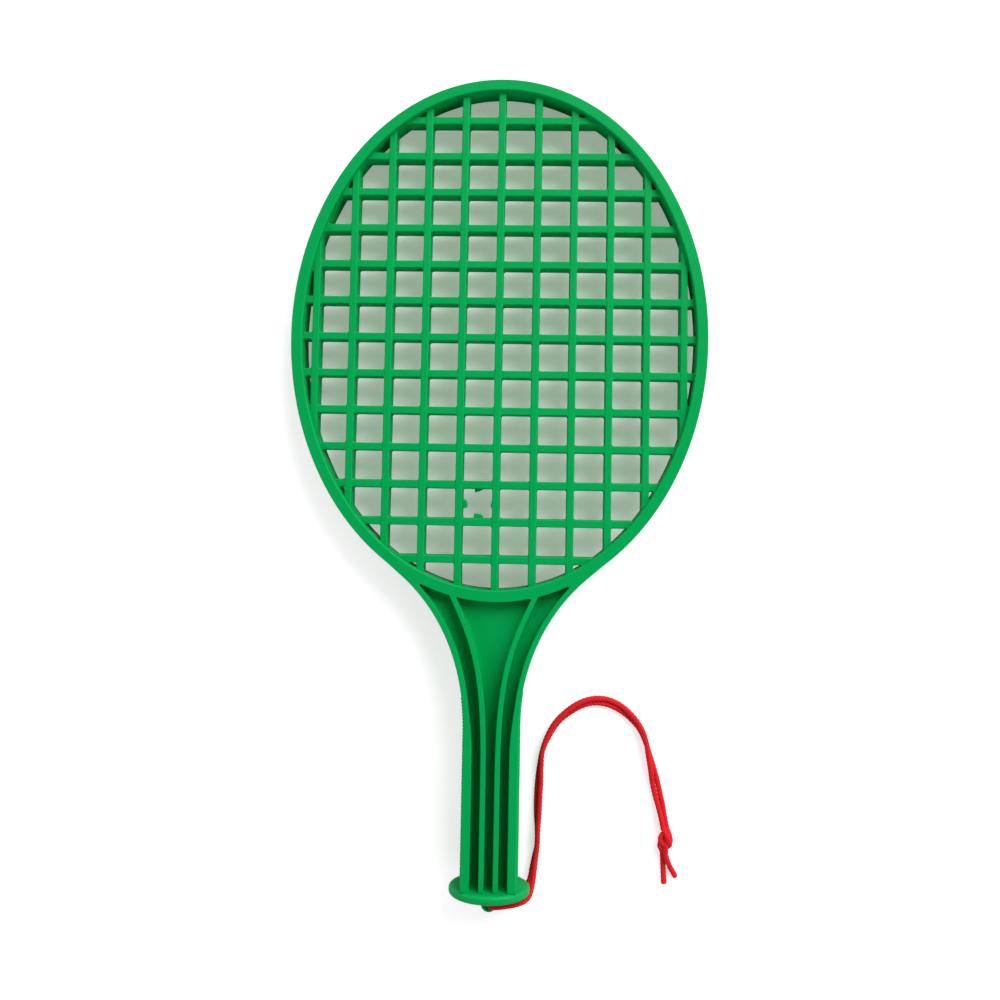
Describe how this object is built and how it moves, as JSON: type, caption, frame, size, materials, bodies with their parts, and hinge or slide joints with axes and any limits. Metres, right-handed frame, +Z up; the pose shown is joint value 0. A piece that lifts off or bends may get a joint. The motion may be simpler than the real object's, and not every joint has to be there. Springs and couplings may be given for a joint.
{
  "type": "plastic tennis racket",
  "caption": "Child's racket moulded in one piece of plastic: elliptical hoop with a moulded lattice face, ribbed throat and handle, butt flange with an eyelet, and a knotted wrist cord.",
  "frame": {"origin": "on the surface that the racket lies on, below the middle of the moulding's box, the cord left out", "axes": "+Z up out of the racket's face, +Y from the butt towards the tip of the head, +X to the right seen from the front"},
  "size_m": [0.2144, 0.4256, 0.032],
  "materials": {
    "green_plastic": "semi-gloss moulded polypropylene with soft rounded edges",
    "red_cord": "matt braided cord"
  },
  "bodies": {
    "root": {"frame_hoop": "green_plastic", "string_grid": "green_plastic", "throat": "green_plastic", "handle": "green_plastic", "butt_flange": "green_plastic", "cord_eyelet": "green_plastic", "cord_front_strand": "red_cord", "cord_back_strand": "red_cord", "cord_knot": "red_cord", "cord_tail_left": "red_cord", "cord_tail_right": "red_cord"}
  },
  "joints": []
}
